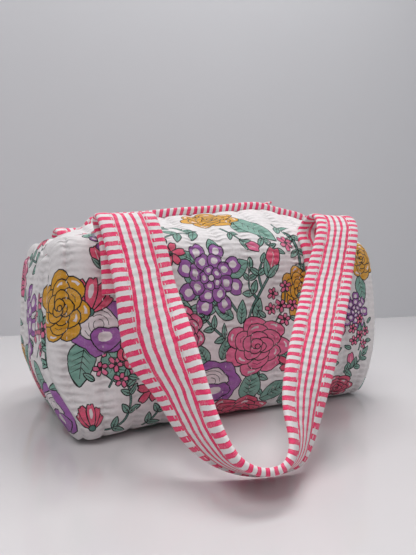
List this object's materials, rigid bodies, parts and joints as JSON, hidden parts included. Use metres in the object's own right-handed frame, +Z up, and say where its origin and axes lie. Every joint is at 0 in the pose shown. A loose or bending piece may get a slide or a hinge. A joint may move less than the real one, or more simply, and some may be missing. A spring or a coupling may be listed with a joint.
{
  "type": "makeup bag",
  "caption": "Soft quilted cotton duffle-shaped makeup bag with a top zip, a slider with a cotton pull tab, and two striped cotton strap handles.",
  "frame": {"origin": "on the ground under the middle of the base", "axes": "+X along the zip towards the higher end, -Y is the front, +Z is up"},
  "size_m": [0.256, 0.3446, 0.1561],
  "materials": {
    "quilted_print": "quilted cotton, printed with flowers and leaves",
    "lining_cotton": "plain cotton lining",
    "seam_cotton": "cotton tape",
    "striped_cotton": "pink and white striped cotton",
    "zip_tape": "woven polyester tape",
    "zip_coil": "nylon coil",
    "zip_metal": "polished"
  },
  "bodies": {
    "root": {"back_left_strap_end": "striped_cotton", "back_left_strap_end_binding": "striped_cotton", "back_lining": "lining_cotton", "back_panel": "quilted_print", "back_right_strap_end": "striped_cotton", "back_right_strap_end_binding": "striped_cotton", "back_zip_binding": "striped_cotton", "back_zip_coil": "zip_coil", "back_zip_tape": "zip_tape", "base_seam_tape": "seam_cotton", "front_left_strap_end": "striped_cotton", "front_left_strap_end_binding": "striped_cotton", "front_lining": "lining_cotton", "front_panel": "quilted_print", "front_right_strap_end": "striped_cotton", "front_right_strap_end_binding": "striped_cotton", "front_zip_binding": "striped_cotton", "front_zip_coil": "zip_coil", "front_zip_tape": "zip_tape", "left_end_lining": "lining_cotton", "left_end_panel": "quilted_print", "left_seam_binding": "seam_cotton", "right_end_lining": "lining_cotton", "right_end_panel": "quilted_print", "right_seam_binding": "seam_cotton", "zip_bottom_stop": "zip_metal", "zip_top_stops": "zip_metal"},
    "front_handle": {"front_handle_core": "striped_cotton", "front_handle_inner_binding": "striped_cotton", "front_handle_outer_binding": "striped_cotton"},
    "back_handle": {"back_handle_core": "striped_cotton", "back_handle_inner_binding": "striped_cotton", "back_handle_outer_binding": "striped_cotton"},
    "zip_slider": {"slider_body": "zip_metal", "slider_crown": "zip_metal"},
    "zip_pull": {"zip_pull": "zip_metal", "pull_tab": "striped_cotton"}
  },
  "joints": [
    {"name": "front_handle_swing", "type": "hinge", "parent": "root", "child": "front_handle", "pos_m": [0, -0.06084, 0.12013], "axis": [-1, 0, 0], "range_deg": [-10, 150]},
    {"name": "back_handle_swing", "type": "hinge", "parent": "root", "child": "back_handle", "pos_m": [0, 0.06084, 0.12013], "axis": [1, 0, 0], "range_deg": [-10, 150]},
    {"name": "zip_slide", "type": "slide", "parent": "root", "child": "zip_slider", "axis": [0.9921, 0, 0.1255], "range_m": [-0.121, 0]},
    {"name": "pull_flip", "type": "hinge", "parent": "zip_slider", "child": "zip_pull", "pos_m": [0.03772, 0, 0.14917], "axis": [0, -1, 0], "range_deg": [0, 140]}
  ]
}
